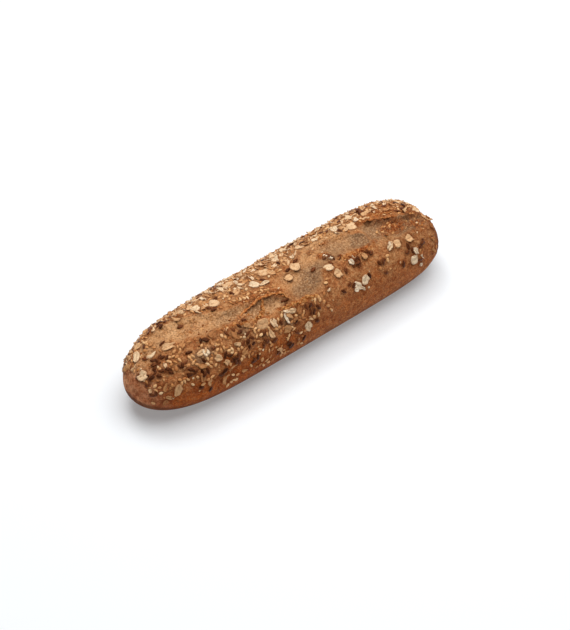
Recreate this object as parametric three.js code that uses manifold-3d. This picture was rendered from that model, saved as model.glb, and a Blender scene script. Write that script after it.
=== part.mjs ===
// Multigrain baguette: one baked loaf with three opened slashes, topped with oat flakes and brown
// linseed before baking. Millimetres, +X along the loaf, +Z up, underside flat on z = 0.
//
// A place on the crust is named by x along the loaf and by an angle round it in degrees: 0 on the
// crown, positive down the -Y side, negative down the +Y side.

import * as THREE from 'three';
import { mergeVertices } from 'three/addons/utils/BufferGeometryUtils.js';
import Module from 'manifold-3d';

// ---- driving dimensions -----------------------------------------------------------------------

const LOAF_LENGTH = 239.2;
const LOAF_WIDTH = 61.2;
const LOAF_HEIGHT = 49.0;
const WIDEST_HEIGHT = 0.42 * LOAF_HEIGHT; // the loaf is broadest a little below its middle
const SECTION_POWER = 2.25; // 2 is an ellipse, more is squarer
const UNDERSIDE_DEPTH = 1.12; // over 1, so that the round underside is cut flat at z = 0
const UNDERSIDE_TAPER = 0.8;
const NARROW_END = { width: 5.3, height: 4.1 }; // powers of the end's outline, more is blunter
const BLUNT_END = { width: 8.9, height: 4.4 };

const STATIONS = 52; // rings of the crust's mesh along the loaf
const END_CROWDING = 0.5; // how much closer the rings lie at the tips, from 0 to 1
const AROUND = 40; // sides of each ring
const CROWN_CROWDING = 0.42; // how much closer those sides lie on the crown than underneath

const LUMP_HEIGHT = 0.45;
const EAR_REACH = 5; // how far back the crust is lifted behind a slash
const SLASH_RUN_OUT = 8; // length over which a slash ends
const RELIEF_SIDE = [95, 120]; // relief dies away between these angles, so the underside is flat
const RELIEF_TIP = [12, 2]; // and between these distances from each tip

// Each slash runs aslant over the crown. far and near are its two edges, as [x, angle] points.
const SLASHES = [
  {
    far: [[-96, -30], [-83, -26], [-71, -15], [-59, -3], [-46, 6], [-28, 10], [-17, 16], [-9, 30]],
    near: [[-96, 1], [-81, 8], [-70, 17], [-57, 21], [-41, 31], [-26, 38], [-9, 40]],
    depth: 1.5,
    ear: 0.9,
  },
  {
    far: [[-9, 2], [6, 3], [15, -4], [24, -14], [34, -12], [44, -9], [56, 2], [66, 8]],
    near: [[-9, 40], [6, 46], [14, 42], [23, 21], [39, 20], [58, 25], [66, 27]],
    depth: 1.1,
    ear: 0.8,
  },
  {
    far: [[60, -2], [68, -4], [77, -1], [87, 4], [103, 7], [112, 14]],
    near: [[60, 29], [74, 33], [87, 32], [103, 33], [112, 30]],
    depth: 1.9,
    ear: 1.5,
  },
];

// The torn hollow at the end of the first slash.
const POCKET = { x: -25, angle: 25, halfLength: 15, halfWidth: 7.5, depth: 2.4 };

// Thin edges of torn crust. Each follows a line of [x, angle] points and leans over the slash.
const TORN_EDGES = [
  { line: [[-88, -28], [-76, -21], [-64, -8], [-52, 1]], reach: 2.2, thick: 1.3 },
  { line: [[-43, 15], [-34, 11], [-25, 10], [-17, 14], [-12, 22], [-11, 31]], reach: 3.2, thick: 1.3 },
  { line: [[-62, 22], [-48, 29], [-36, 37], [-22, 40], [-8, 43], [8, 50]], reach: -1.8, thick: 1.2 },
  { line: [[24, 19], [34, 17], [46, 22], [60, 27]], reach: -2.2, thick: 1.5 },
  { line: [[64, -5], [72, -4], [82, 1], [93, 5], [103, 8]], reach: 3.4, thick: 1.7 },
];
const TORN_STEPS = 12;
const TORN_WAVE = 0.35; // how far a torn edge wanders, as a share of its reach
const TORN_THINNING = 0.45; // how much of its thickness it loses towards the free side
const TORN_ROOT = 0.35; // how deep it is rooted in the crust, as a share of its thickness

// The largest oat flakes: [x, angle, length, width, turn from the loaf's length in degrees].
const LARGE_FLAKES = [
  [-112, 13, 8.0, 6.2, 20], [-107, -22, 8.6, 4.4, -35], [-91, 4, 8.8, 4.6, 15],
  [-100, 69, 8.4, 4.2, -58], [-78, 35, 7.1, 3.8, 0], [-70, 52, 5.6, 4.4, 45],
  [-60, -17, 7.0, 5.6, 20], [-101, -36, 7.6, 4.6, 15], [-34, 43, 9.0, 6.8, 10],
  [-27, 49, 6.4, 4.2, 75], [-31, 60, 6.4, 3.4, 76], [-4, 77, 6.6, 5.8, 90],
  [-21, -3, 7.8, 4.6, 50], [0, 9, 6.6, 4.8, 5], [8, 3, 7.4, 6.4, 75],
  [-9, -12, 7.8, 6.0, 25], [4, -21, 6.2, 4.4, 90], [-32, -25, 7.6, 6.4, 20],
  [-34, -6, 6.8, 4.6, -20], [-50, -8, 7.4, 6.6, 30], [26, 23, 7.8, 4.6, 20],
  [29, 35, 6.0, 5.6, 0], [60, -7, 7.2, 6.6, 0], [65, -23, 6.0, 4.4, 30],
  [44, 60, 6.9, 4.8, -55], [38, 62, 7.4, 4.6, 50], [71, 37, 7.2, 3.4, -35],
  [77, 38, 6.2, 5.2, 20], [87, 39, 6.4, 5.0, 0], [84, 71, 6.6, 6.0, 0],
  [87, 60, 5.6, 3.4, 66], [108, 2, 8.0, 4.6, -30], [112, 18, 8.0, 5.0, 36],
];

// Where linseeds lie together: [x, angle, number of seeds].
const LINSEED_CLUSTERS = [
  [-108, 26, 4], [-100, 33, 2], [-101, 9, 3], [-91, 36, 2], [-89, 51, 3], [-82, -32, 3],
  [-81, 60, 2], [-72, 22, 2], [-70, 74, 2], [-59, 66, 3], [-53, -5, 2], [-50, 33, 3],
  [-48, -36, 2], [-48, 56, 2], [-46, 80, 2], [-37, 66, 2], [-19, 88, 2], [-13, 34, 2],
  [0, 55, 3], [30, 15, 3], [28, -22, 2], [34, 57, 2], [44, 33, 4], [44, -22, 2],
  [55, 33, 2], [60, 50, 2], [74, -24, 3], [83, 53, 3], [94, 54, 2], [103, -9, 2],
];
const CLUSTER_RADIUS = 3.4;

const FLAKE_LENGTH = [5.0, 7.5]; // shortest and longest of the scattered flakes
const FLAKE_SLENDERNESS = [0.55, 0.85]; // width as a share of length
const FLAKE_LEAN = [-9, 9];
const FLAKE_SIDES = 6;
const FLAKE_TOP = 0.78; // a flake's top face as a share of its outline
const FLAKE_ROOT = 1.6; // how deep a flake's underside reaches into the crust
const FLAKE_PROUD = 0.9;
const LINSEED = { length: 4.5, width: 2.3, thick: 1.9, proud: 0.35 };

const SCATTERED_FLAKES = 58;
const SCATTERED_LINSEEDS = 10;
const FLAKE_SPACING = 6.5;
const LINSEED_SPACING = 4.2;
const TOPPED_LENGTH = 114; // toppings reach this far from the middle
const TOPPED_ANGLE = 98; // and this far down each side
const CRUST_RADIUS = 28; // turns angles round the loaf into millimetres for spacing
const SEED = 20417;

const SHORTEST_EDGE = 0.08; // of the finished mesh

const CRUST_COLOUR = 0x9a6a43;
const CRUST_ROUGHNESS = 0.75;

// ---- the loaf's smooth form -------------------------------------------------------------------

const { degToRad, radToDeg, clamp, lerp, smoothstep } = THREE.MathUtils;

const signedPower = (value, power) => Math.sign(value) * Math.abs(value) ** power;

// The point of the smooth crust at x and angle.
function smoothCrust(x, angle) {
  const share = Math.min(Math.abs((2 * x) / LOAF_LENGTH), 1);
  const end = x < 0 ? NARROW_END : BLUNT_END;
  const halfWidth = (LOAF_WIDTH / 2) * Math.sqrt(1 - share ** end.width);
  const rise = Math.sqrt(1 - share ** end.height);
  const across = signedPower(Math.sin(degToRad(angle)), 2 / SECTION_POWER);
  const up = signedPower(Math.cos(degToRad(angle)), 2 / SECTION_POWER);
  const crown = (LOAF_HEIGHT - WIDEST_HEIGHT) * rise;
  const foot = WIDEST_HEIGHT * UNDERSIDE_DEPTH * rise ** UNDERSIDE_TAPER;
  const z = up >= 0 ? WIDEST_HEIGHT + crown * up : Math.max(WIDEST_HEIGHT + foot * up, 0);
  return new THREE.Vector3(x, -halfWidth * across, z);
}

// Directions at a place on the crust: along the loaf, down the side, and straight out.
function directions(x, angle) {
  const dx = 0.4;
  const dAngle = 1.5;
  const reach = LOAF_LENGTH / 2 - dx;
  const at = clamp(x, -reach, reach);
  const along = smoothCrust(at + dx, angle).sub(smoothCrust(at - dx, angle)).normalize();
  const down = smoothCrust(at, angle + dAngle).sub(smoothCrust(at, angle - dAngle)).normalize();
  const out = new THREE.Vector3().crossVectors(down, along).normalize();
  return { along, down: new THREE.Vector3().crossVectors(along, out), out };
}

// ---- relief -----------------------------------------------------------------------------------

// The angle of an edge at x, on straight lines between its points.
function edgeAngle(edge, x) {
  const next = edge.findIndex((point) => point[0] > x);
  const [from, to] = [edge[next - 1], edge[next]];
  return lerp(from[1], to[1], (x - from[0]) / (to[0] - from[0]));
}

function slashRelief(slash, x, angle) {
  const [start, end] = [slash.far[0][0], slash.far.at(-1)[0]];
  if (x <= start || x >= end) {
    return 0;
  }
  const far = edgeAngle(slash.far, x);
  const near = edgeAngle(slash.near, x);
  const fade = smoothstep(x, start, start + SLASH_RUN_OUT) * smoothstep(-x, -end, SLASH_RUN_OUT - end);
  const across = (angle - far) / (near - far);
  if (across < 0) {
    return slash.ear * fade * Math.exp((degToRad(angle - far) * CRUST_RADIUS) / EAR_REACH);
  }
  return across < 1 ? -slash.depth * fade * (1 - across ** 2) : 0;
}

function pocketRelief(x, angle) {
  const along = (x - POCKET.x) / POCKET.halfLength;
  const round = (degToRad(angle - POCKET.angle) * CRUST_RADIUS) / POCKET.halfWidth;
  return -POCKET.depth * Math.max(1 - along ** 2 - round ** 2, 0) ** 0.5;
}

function lumps(x, angle) {
  const turn = degToRad(angle);
  const wide = Math.sin(x / 13 + 2.1 * turn) * Math.cos(x / 21 - 1.3 * turn);
  const small = Math.sin(x / 6.1 - 3.2 * turn + 1) * Math.cos(x / 8.3 + 2.6 * turn);
  return LUMP_HEIGHT * (0.65 * wide + 0.35 * small);
}

// Relief above the smooth crust. It dies away at the tips and below, so the underside stays flat.
function relief(x, angle) {
  const side = 1 - smoothstep(Math.abs(angle), ...RELIEF_SIDE);
  const tips = 1 - smoothstep(Math.abs(x), ...RELIEF_TIP.map((gap) => LOAF_LENGTH / 2 - gap));
  const slashes = SLASHES.reduce((sum, slash) => sum + slashRelief(slash, x, angle), 0);
  return side * tips * (slashes + pocketRelief(x, angle) + lumps(x, angle));
}

function crustPoint(x, angle) {
  const { out } = directions(x, angle);
  return smoothCrust(x, angle).addScaledVector(out, relief(x, angle));
}

// ---- making solids ----------------------------------------------------------------------------

const wasm = await Module();
wasm.setup();

function toSolid(geometry) {
  const bare = geometry.clone();
  bare.deleteAttribute('normal');
  bare.deleteAttribute('uv');
  const welded = mergeVertices(bare);
  const vertProperties = new Float32Array(welded.attributes.position.array);
  const triVerts = new Uint32Array(welded.index.array);
  return new wasm.Manifold(new wasm.Mesh({ numProp: 3, vertProperties, triVerts }));
}

function toGeometry(solid) {
  const { vertProperties, triVerts } = solid.getMesh();
  const geometry = new THREE.BufferGeometry();
  geometry.setAttribute('position', new THREE.BufferAttribute(vertProperties, 3));
  geometry.setIndex(new THREE.BufferAttribute(triVerts, 1));
  return geometry;
}

// Whether moving one corner to another turns over any of the faces, apart from those that close up.
function turnsOver(faces, corner, target, points) {
  const normal = (face) => {
    const [a, b, c] = face.map((i) => points[i]);
    return new THREE.Triangle(a, b, c).getNormal(new THREE.Vector3());
  };
  return faces.some((face) => {
    const moved = face.map((i) => (i === corner ? target : i));
    return !face.includes(target) && normal(face).dot(normal(moved)) < 0.2;
  });
}

// Joining leaves slivers along the seams. Each edge that is too short is drawn together into one
// of its ends, where that keeps the skin closed and turns no face over, until none is left.
function withoutSlivers(geometry) {
  const { position } = geometry.attributes;
  const corners = [...geometry.index.array];
  const range = (length) => [...Array(length).keys()];
  const points = range(position.count).map((i) => new THREE.Vector3().fromBufferAttribute(position, i));
  let faces = range(corners.length / 3).map((i) => corners.slice(3 * i, 3 * i + 3));
  let closing = true;
  while (closing) {
    closing = false;
    const facesAt = points.map(() => []);
    faces.forEach((face) => face.forEach((corner) => facesAt[corner].push(face)));
    const around = (corner) => new Set(facesAt[corner].flat());
    const settled = new Set();
    for (const face of faces) {
      for (const side of [0, 1, 2]) {
        const [corner, target] = [face[side], face[(side + 1) % 3]];
        const short = points[corner].distanceTo(points[target]) < SHORTEST_EDGE;
        if (!short || settled.has(corner) || settled.has(target)) {
          continue;
        }
        const [these, those] = [around(corner), around(target)];
        const shared = [...these].filter((other) => those.has(other));
        const closed = shared.length === 4; // the edge's own two ends, and one point on each side
        if (closed && !turnsOver(facesAt[corner], corner, target, points)) {
          [...these, ...those].forEach((other) => settled.add(other));
          facesAt[corner].forEach((other) => other.splice(other.indexOf(corner), 1, target));
          closing = true;
        }
      }
    }
    faces = faces.filter(([a, b, c]) => a !== b && b !== c && c !== a);
  }
  const cleaned = new THREE.BufferGeometry().setFromPoints(points);
  cleaned.setIndex(faces.flat());
  cleaned.computeVertexNormals();
  return cleaned;
}

// Moves every point of a geometry to where the rule puts it.
function reshape(geometry, rule) {
  const position = geometry.attributes.position;
  for (let i = 0; i < position.count; i += 1) {
    const moved = rule(new THREE.Vector3().fromBufferAttribute(position, i));
    position.setXYZ(i, moved.x, moved.y, moved.z);
  }
  return geometry;
}

// A ball whose poles become the loaf's two tips.
function loaf() {
  const ball = new THREE.SphereGeometry(1, AROUND, STATIONS);
  return reshape(ball, (point) => {
    const latitude = Math.asin(clamp(point.y, -1, 1)) / (Math.PI / 2);
    const x = (LOAF_LENGTH / 2) * lerp(latitude, point.y, END_CROWDING);
    const turn = Math.atan2(point.x, point.z);
    const angle = radToDeg(turn - CROWN_CROWDING * Math.sin(turn));
    const isTip = Math.abs(latitude) > 0.999;
    return isTip ? smoothCrust(x, 0).setY(0) : crustPoint(x, angle);
  });
}

// A bar laid along the line of a torn edge. Its free side is thinned and leans over the slash: to
// the right of the line where reach is positive, to the left where it is negative.
function tornEdge({ line, reach, thick }) {
  const path = new THREE.SplineCurve(line.map(([x, angle]) => new THREE.Vector2(x, angle)));
  const bar = new THREE.BoxGeometry(1, 1, 1, TORN_STEPS, 1, 1);
  return reshape(bar, (point) => {
    const along = point.x + 0.5;
    const free = 0.5 - Math.sign(reach) * point.y;
    const place = path.getPoint(along);
    const { out } = directions(place.x, place.y);
    const before = path.getPoint(Math.max(along - 0.02, 0));
    const after = path.getPoint(Math.min(along + 0.02, 1));
    const ahead = crustPoint(after.x, after.y).sub(crustPoint(before.x, before.y)).normalize();
    const side = ahead.cross(out).normalize();
    const taper = lerp(0.3, 1, Math.sin(Math.PI * along) ** 0.6);
    const wander = 1 + TORN_WAVE * Math.sin(along * 23) * Math.cos(along * 11);
    const sideways = reach * taper * (free * wander * 1.5 - 0.5);
    const base = thick * (TORN_THINNING * free - TORN_ROOT);
    const height = base + (point.z + 0.5) * thick * taper * (1 - TORN_THINNING * free);
    return crustPoint(place.x, place.y).addScaledVector(side, sideways).addScaledVector(out, height);
  });
}

// Stands a geometry made about the origin, +Z up, on the crust.
function layOn(geometry, { x, angle, turn, lean = 0 }, lift) {
  const { along, down, out } = directions(x, angle);
  const stand = new THREE.Matrix4().makeBasis(along, down.negate(), out);
  const foot = crustPoint(x, angle).addScaledVector(out, lift);
  geometry.rotateX(degToRad(lean)).rotateZ(-degToRad(turn)).applyMatrix4(stand);
  return geometry.translate(foot.x, foot.y, foot.z);
}

function oatFlake(place) {
  const flake = new THREE.CylinderGeometry(FLAKE_TOP, 1, 1, FLAKE_SIDES).rotateX(Math.PI / 2);
  flake.scale(place.length / 2, place.width / 2, FLAKE_ROOT + FLAKE_PROUD);
  return layOn(flake, place, (FLAKE_PROUD - FLAKE_ROOT) / 2);
}

function linseed(place) {
  const seed = new THREE.OctahedronGeometry(1, 0);
  seed.scale(LINSEED.length / 2, LINSEED.width / 2, LINSEED.thick / 2);
  return layOn(seed, place, LINSEED.proud);
}

// ---- where the toppings lie -------------------------------------------------------------------

let state = SEED;

// A plain repeating generator, so that every build gives the same loaf.
function random() {
  state = (state * 1664525 + 1013904223) % 4294967296;
  return state / 4294967296;
}

const between = ([low, high]) => lerp(low, high, random());

function inSlash(x, angle, margin) {
  return SLASHES.some(({ far, near }) => {
    const inside = x > far[0][0] && x < far.at(-1)[0];
    return inside && angle > edgeAngle(far, x) - margin && angle < edgeAngle(near, x) + margin;
  });
}

// The chance that a topping stuck at a place: high on the crown and the far side, low where the
// near side was brushed bare and down towards the underside.
function coverage(x, angle) {
  if (inSlash(x, angle, 3)) {
    return 0;
  }
  const sides = 1 - smoothstep(Math.abs(angle), 62, TOPPED_ANGLE);
  const brushed = angle > 10 ? lerp(1, 0.25, smoothstep(x, 0, 22)) : 1;
  const tip = x < 0 && angle > 0 ? 1 - 0.7 * smoothstep(-x, 96, 112) : 1;
  return sides * brushed * tip;
}

const distance = (a, b) => Math.hypot(a.x - b.x, degToRad(a.angle - b.angle) * CRUST_RADIUS);

// Throws pieces at the crust until the count is reached, each clear of those already there.
function scatter(count, spacing, taken, makePlace) {
  const places = [];
  while (places.length < count) {
    const x = between([-TOPPED_LENGTH, TOPPED_LENGTH]);
    const angle = between([-TOPPED_ANGLE, TOPPED_ANGLE]);
    const chance = random();
    const clear = [...taken, ...places].every((other) => distance(other, { x, angle }) > spacing);
    if (chance < coverage(x, angle) && clear) {
      places.push({ x, angle, ...makePlace() });
    }
  }
  return places;
}

const anyTurn = () => between([-90, 90]);

function flakePlaces() {
  const large = LARGE_FLAKES.map(([x, angle, length, width, turn]) => {
    return { x, angle, length, width, turn };
  });
  const scattered = scatter(SCATTERED_FLAKES, FLAKE_SPACING, large, () => {
    const length = between(FLAKE_LENGTH);
    const width = length * between(FLAKE_SLENDERNESS);
    return { length, width, turn: anyTurn(), lean: between(FLAKE_LEAN) };
  });
  return [...large, ...scattered];
}

function linseedPlaces(flakes) {
  const clustered = LINSEED_CLUSTERS.flatMap(([x, angle, number]) => {
    const first = between([0, 360]);
    return Array.from({ length: number }, (_, i) => {
      const bearing = degToRad(first + (360 / number) * i);
      const away = (CLUSTER_RADIUS * Math.sqrt(number - 1)) / 2;
      const side = radToDeg((away * Math.sin(bearing)) / CRUST_RADIUS);
      return { x: x + away * Math.cos(bearing), angle: angle + side, turn: anyTurn() };
    });
  });
  const taken = [...flakes, ...clustered];
  const scattered = scatter(SCATTERED_LINSEEDS, LINSEED_SPACING, taken, () => ({ turn: anyTurn() }));
  return [...clustered, ...scattered];
}

// ---- assembly ---------------------------------------------------------------------------------

const flakes = flakePlaces();
const linseeds = linseedPlaces(flakes);
const toppings = [...flakes.map(oatFlake), ...linseeds.map(linseed)];
const pieces = [loaf(), ...TORN_EDGES.map(tornEdge), ...toppings];
const whole = pieces.map(toSolid).reduce((joined, piece) => joined.add(piece));

const baguette = new THREE.Mesh(
  withoutSlivers(toGeometry(whole)),
  new THREE.MeshStandardMaterial({ color: CRUST_COLOUR, roughness: CRUST_ROUGHNESS, metalness: 0 }),
);
baguette.name = 'baguette';

const part = new THREE.Group();
part.add(baguette);

export default part;
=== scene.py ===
from math import asin, atan2, copysign, cos, degrees, exp, hypot, pi, radians, sin, sqrt

import bmesh
import bpy
from mathutils import Matrix, Vector, kdtree, noise


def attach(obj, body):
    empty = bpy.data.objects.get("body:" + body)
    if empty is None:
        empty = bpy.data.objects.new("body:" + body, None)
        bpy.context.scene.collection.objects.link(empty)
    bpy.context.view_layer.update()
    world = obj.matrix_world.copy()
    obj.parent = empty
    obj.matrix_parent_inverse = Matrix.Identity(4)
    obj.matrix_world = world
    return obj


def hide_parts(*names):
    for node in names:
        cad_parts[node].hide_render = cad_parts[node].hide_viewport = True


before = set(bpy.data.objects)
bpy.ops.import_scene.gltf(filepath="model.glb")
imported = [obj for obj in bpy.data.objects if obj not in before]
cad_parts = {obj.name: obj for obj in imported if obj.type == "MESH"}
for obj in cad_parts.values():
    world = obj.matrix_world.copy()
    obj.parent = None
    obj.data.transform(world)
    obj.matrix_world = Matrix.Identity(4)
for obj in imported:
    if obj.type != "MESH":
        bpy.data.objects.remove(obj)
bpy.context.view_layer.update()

# ---- Crust ----
# The loaf itself: multigrain dough rolled to a short stick, slashed three times aslant and baked on
# a flat tray. The slashes opened in the oven, so their beds are pale and their edges are torn.

# A place on it is named by x, the millimetres along the loaf, and by an angle, the degrees round it:
# 0 on the crown, positive down the near (-Y) side, negative down the far (+Y) side.
MM = 0.001  # the forms below are worked out in millimetres, and the meshes are in metres

LENGTH, WIDTH, HEIGHT = 239.2, 61.2, 49.0
WIDEST_HEIGHT = 0.42 * HEIGHT
SECTION_POWER = 2.25  # 2 is an ellipse, and more is squarer
UNDERSIDE_DEPTH, UNDERSIDE_TAPER = 1.12, 0.8  # deeper than the tray allows, so it is flat there
NARROW_END = {"width": 5.3, "height": 4.1}  # the powers of its outlines: more is blunter
BLUNT_END = {"width": 8.9, "height": 4.4}
CRUST_RADIUS = 28  # about half of its mean thickness

LUMP_HEIGHT = 0.45
EAR_REACH, SLASH_RUN_OUT = 5, 8
RELIEF_SIDE, RELIEF_TIP = (95, 120), (12, 2)  # degrees, and millimetres from the tip

# The slashes from the narrow end, with their far and near edges as places. The far edge stands up in
# an ear, and drops to the bed over the share of the width under "slope". The bed is pale, and fades
# into the skin between the two shares under "fading".
SLASHES = [
    {
        "far": [(-96, -30), (-83, -26), (-71, -15), (-59, -3), (-46, 6), (-28, 10), (-17, 16), (-9, 30)],
        "near": [(-96, 1), (-81, 8), (-70, 17), (-57, 21), (-41, 31), (-26, 38), (-9, 40)],
        "depth": 1.5, "ear": 0.9, "slope": 0.4, "pale": 1, "fading": (0.8, 1.05),
    },
    {
        "far": [(-9, 2), (6, 3), (15, -4), (24, -14), (34, -12), (44, -9), (56, 2), (66, 8)],
        "near": [(-9, 40), (6, 46), (14, 42), (23, 21), (39, 20), (58, 25), (66, 27)],
        "depth": 1.1, "ear": 0.8, "slope": 0.25, "pale": 0.8, "fading": (0.5, 1.25),
    },
    {
        "far": [(60, -2), (68, -4), (77, -1), (87, 4), (103, 7), (112, 14)],
        "near": [(60, 29), (74, 33), (87, 32), (103, 33), (112, 30)],
        "depth": 1.9, "ear": 1.5, "slope": 0.18, "pale": 0.9, "fading": (0.7, 1.1),
    },
]
POCKET = {"x": -25, "angle": 25, "half_length": 15, "half_width": 7.5, "depth": 2.4}


def clamp(value, low=0.0, high=1.0):
    return max(low, min(high, value))


def lerp(low, high, share):
    return (1 - share) * low + share * high


def smoothstep(value, low, high):
    share = clamp((value - low) / (high - low))
    return share * share * (3 - 2 * share)


def signed_power(value, power):
    return copysign(abs(value) ** power, value)


def arc(angle):
    """Degrees round the loaf in millimetres over its crust."""
    return radians(angle) * CRUST_RADIUS


def smooth_crust(x, angle):
    """The point of the smooth loaf at a place."""
    share = min(abs(2 * x / LENGTH), 1)
    end = NARROW_END if x < 0 else BLUNT_END
    half_width = WIDTH / 2 * sqrt(1 - share ** end["width"])
    rise = sqrt(1 - share ** end["height"])
    across = signed_power(sin(radians(angle)), 2 / SECTION_POWER)
    up = signed_power(cos(radians(angle)), 2 / SECTION_POWER)
    crown = (HEIGHT - WIDEST_HEIGHT) * rise
    foot = WIDEST_HEIGHT * UNDERSIDE_DEPTH * rise ** UNDERSIDE_TAPER
    z = WIDEST_HEIGHT + crown * up if up >= 0 else max(WIDEST_HEIGHT + foot * up, 0)
    return Vector((x, -half_width * across, z))


def directions(x, angle):
    """Along the loaf, down its side, and straight out of the crust."""
    dx, d_angle = 0.4, 1.5
    reach = LENGTH / 2 - dx
    at = clamp(x, -reach, reach)
    along = (smooth_crust(at + dx, angle) - smooth_crust(at - dx, angle)).normalized()
    down = (smooth_crust(at, angle + d_angle) - smooth_crust(at, angle - d_angle)).normalized()
    out = down.cross(along).normalized()
    return along, along.cross(out), out


def edge_angle(edge, x):
    following = next(i for i, point in enumerate(edge) if point[0] > x)
    (x0, angle0), (x1, angle1) = edge[following - 1], edge[following]
    return lerp(angle0, angle1, (x - x0) / (x1 - x0))


def ragged(x, angle, wave, channel):
    """A value that wanders between about -1 and 1 over a wave of millimetres."""
    return 1.4 * noise.noise(Vector((x / wave, arc(angle) / wave, channel)))


def slash_edges(slash, x):
    """The angles of a slash's far and near edges at x."""
    return edge_angle(slash["far"], x), edge_angle(slash["near"], x)


def slash_share(slash, x, angle):
    """How far across an opened slash a place is, from 0 at its far edge to 1, and its strength."""
    start, end = slash["far"][0][0], slash["far"][-1][0]
    if x <= start or x >= end:
        return 0, 0
    far, near = slash_edges(slash, x)
    fade = smoothstep(x, start, start + SLASH_RUN_OUT) * smoothstep(-x, -end, SLASH_RUN_OUT - end)
    return (angle - far) / (near - far), fade


def slash_relief(slash, x, angle):
    across, fade = slash_share(slash, x, angle)
    if fade == 0 or across >= 1:
        return 0
    if across < 0:
        behind = arc(angle - edge_angle(slash["far"], x))
        return slash["ear"] * fade * exp(behind / EAR_REACH)
    bed = -slash["depth"] * (1 - across ** 2)
    return fade * lerp(slash["ear"], bed, smoothstep(across, 0, slash["slope"]))


def pocket_relief(x, angle):
    along = (x - POCKET["x"]) / POCKET["half_length"]
    around = arc(angle - POCKET["angle"]) / POCKET["half_width"]
    return -POCKET["depth"] * max(1 - along ** 2 - around ** 2, 0) ** 0.5


def lumps(x, angle):
    """Low lumps all over the loaf, where the dough rose unevenly."""
    turn = radians(angle)
    wide = sin(x / 13 + 2.1 * turn) * cos(x / 21 - 1.3 * turn)
    small = sin(x / 6.1 - 3.2 * turn + 1) * cos(x / 8.3 + 2.6 * turn)
    return LUMP_HEIGHT * (0.65 * wide + 0.35 * small)


def relief_share(x, angle):
    """Relief dies away at the tips and below, so that the underside is flat."""
    side = 1 - smoothstep(abs(angle), *RELIEF_SIDE)
    tips = 1 - smoothstep(abs(x), *(LENGTH / 2 - gap for gap in RELIEF_TIP))
    return side * tips


def crust_point(x, angle):
    """The point of the crust at a place, without the fine texture of its skin."""
    slashes = sum(slash_relief(slash, x, angle) for slash in SLASHES)
    relief = relief_share(x, angle) * (slashes + pocket_relief(x, angle) + lumps(x, angle))
    return smooth_crust(x, angle) + directions(x, angle)[2] * relief


# Where the oven tore the skin to rough golden crumb: x, angle, half length, half width, strength.
TORN_PATCHES = [
    (-50, 24, 16, 3.5, 0.6), (-30, 9, 14, 2.5, 0.8), (-13, 18, 5, 4, 0.6), (-32, 36, 9, 2.5, 0.7),
    (-17, 38, 4, 1.6, 0.9), (-3, 44, 13, 2.5, 0.8), (29, 6, 5, 2.5, 1), (22, 31, 4, 5, 0.4),
    (50, 24, 14, 2.4, 1), (68, -7, 9, 2.5, 0.8), (84, -6, 16, 6, 0.8), (64, 21, 4, 2, 0.6),
    (84, 14, 14, 6, 0.95), (103, 5, 8, 4, 0.7), (97, 33, 11, 3.2, 0.6), (36, 26, 5, 3, 0.4),
    (101, 22, 9, 5, 0.95), (-70, 5, 11, 6, 0.25), (26, -6, 5, 2, 0.5), (38, -6, 5, 2, 0.5),
]
# Small cracks and hollows, deep, and painted dark as shade, with the same values.
CRACKS = [
    (13, 24, 1.2, 2.4, 0.5), (-11, 29, 1.2, 3, 0.5), (2, 43, 2.4, 1.1, 0.7), (70, -1, 4, 0.8, 0.6),
    (79, 1, 6, 0.6, 0.5), (87, 4, 5, 0.6, 0.5), (-42, 5, 4, 1.4, 0.3), (-60, -9, 4, 1.2, 0.3),
    (74, 24, 1.2, 4, 0.5), (24, -5, 3, 1.2, 0.5), (-74, -21, 4, 1.2, 0.5),
]
CRACK_DEPTH = 1.1
# Where the bed of a slash stayed ashen, and where the skin beside one is as pale as the bed.
ASHEN_PATCHES = [
    (-20, 24, 13, 7.5, 0.45), (-33, 23, 9, 6, 0.6), (-50, 14, 12, 5, 0.5), (4, 32, 12, 7, 0.8),
    (16, 22, 14, 9, 1), (38, 6, 12, 6, 0.7), (58, 13, 14, 8, 1), (66, 12, 9, 8, 0.9),
    (78, 6, 16, 5, 1), (90, 16, 16, 9, 1), (101, 24, 13, 8, 1), (-78, 39, 11, 7, 0.9),
    (-17, 57, 6, 8, 0.8), (-46, 37, 6, 5, 0.9), (30, 14, 8, 6, 0.6),
]
# The two wide ones over the far side are painted light: that side is painted paler, as it faces the light.
PALE_PATCHES = [
    (-98, -15, 11, 9, 0.9), (-108, -8, 7, 9, 0.5), (42, -13, 23, 8, 1), (-30, -24, 40, 14, 0.45),
    (20, -30, 40, 14, 0.45), (-78, 39, 10, 6, 0.6), (-17, 57, 5, 7, 0.5), (-46, 37, 5, 4, 0.6),
]
DENTS = [(-107, -67, 5, 6, 1), (-98, -62, 4, 5, 0.7)]  # low on the far side of the narrow end
DENT_DEPTH = 1.6
RAGGED_EDGE = 2.2  # degrees that a slash's edge wanders
PORE_DEPTH, BLISTER_HEIGHT, GRAIN_HEIGHT = 0.5, 0.3, 0.07


def patchiness(patches, x, angle):
    """How strongly a place lies in any of the patches, from 0 to 1."""
    most = 0
    for centre, centre_angle, half_length, half_width, strength in patches:
        along = (x - centre) / half_length
        around = arc(angle - centre_angle) / half_width
        most = max(most, strength * (1 - smoothstep(hypot(along, around), 0.5, 1.15)))
    return most


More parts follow.
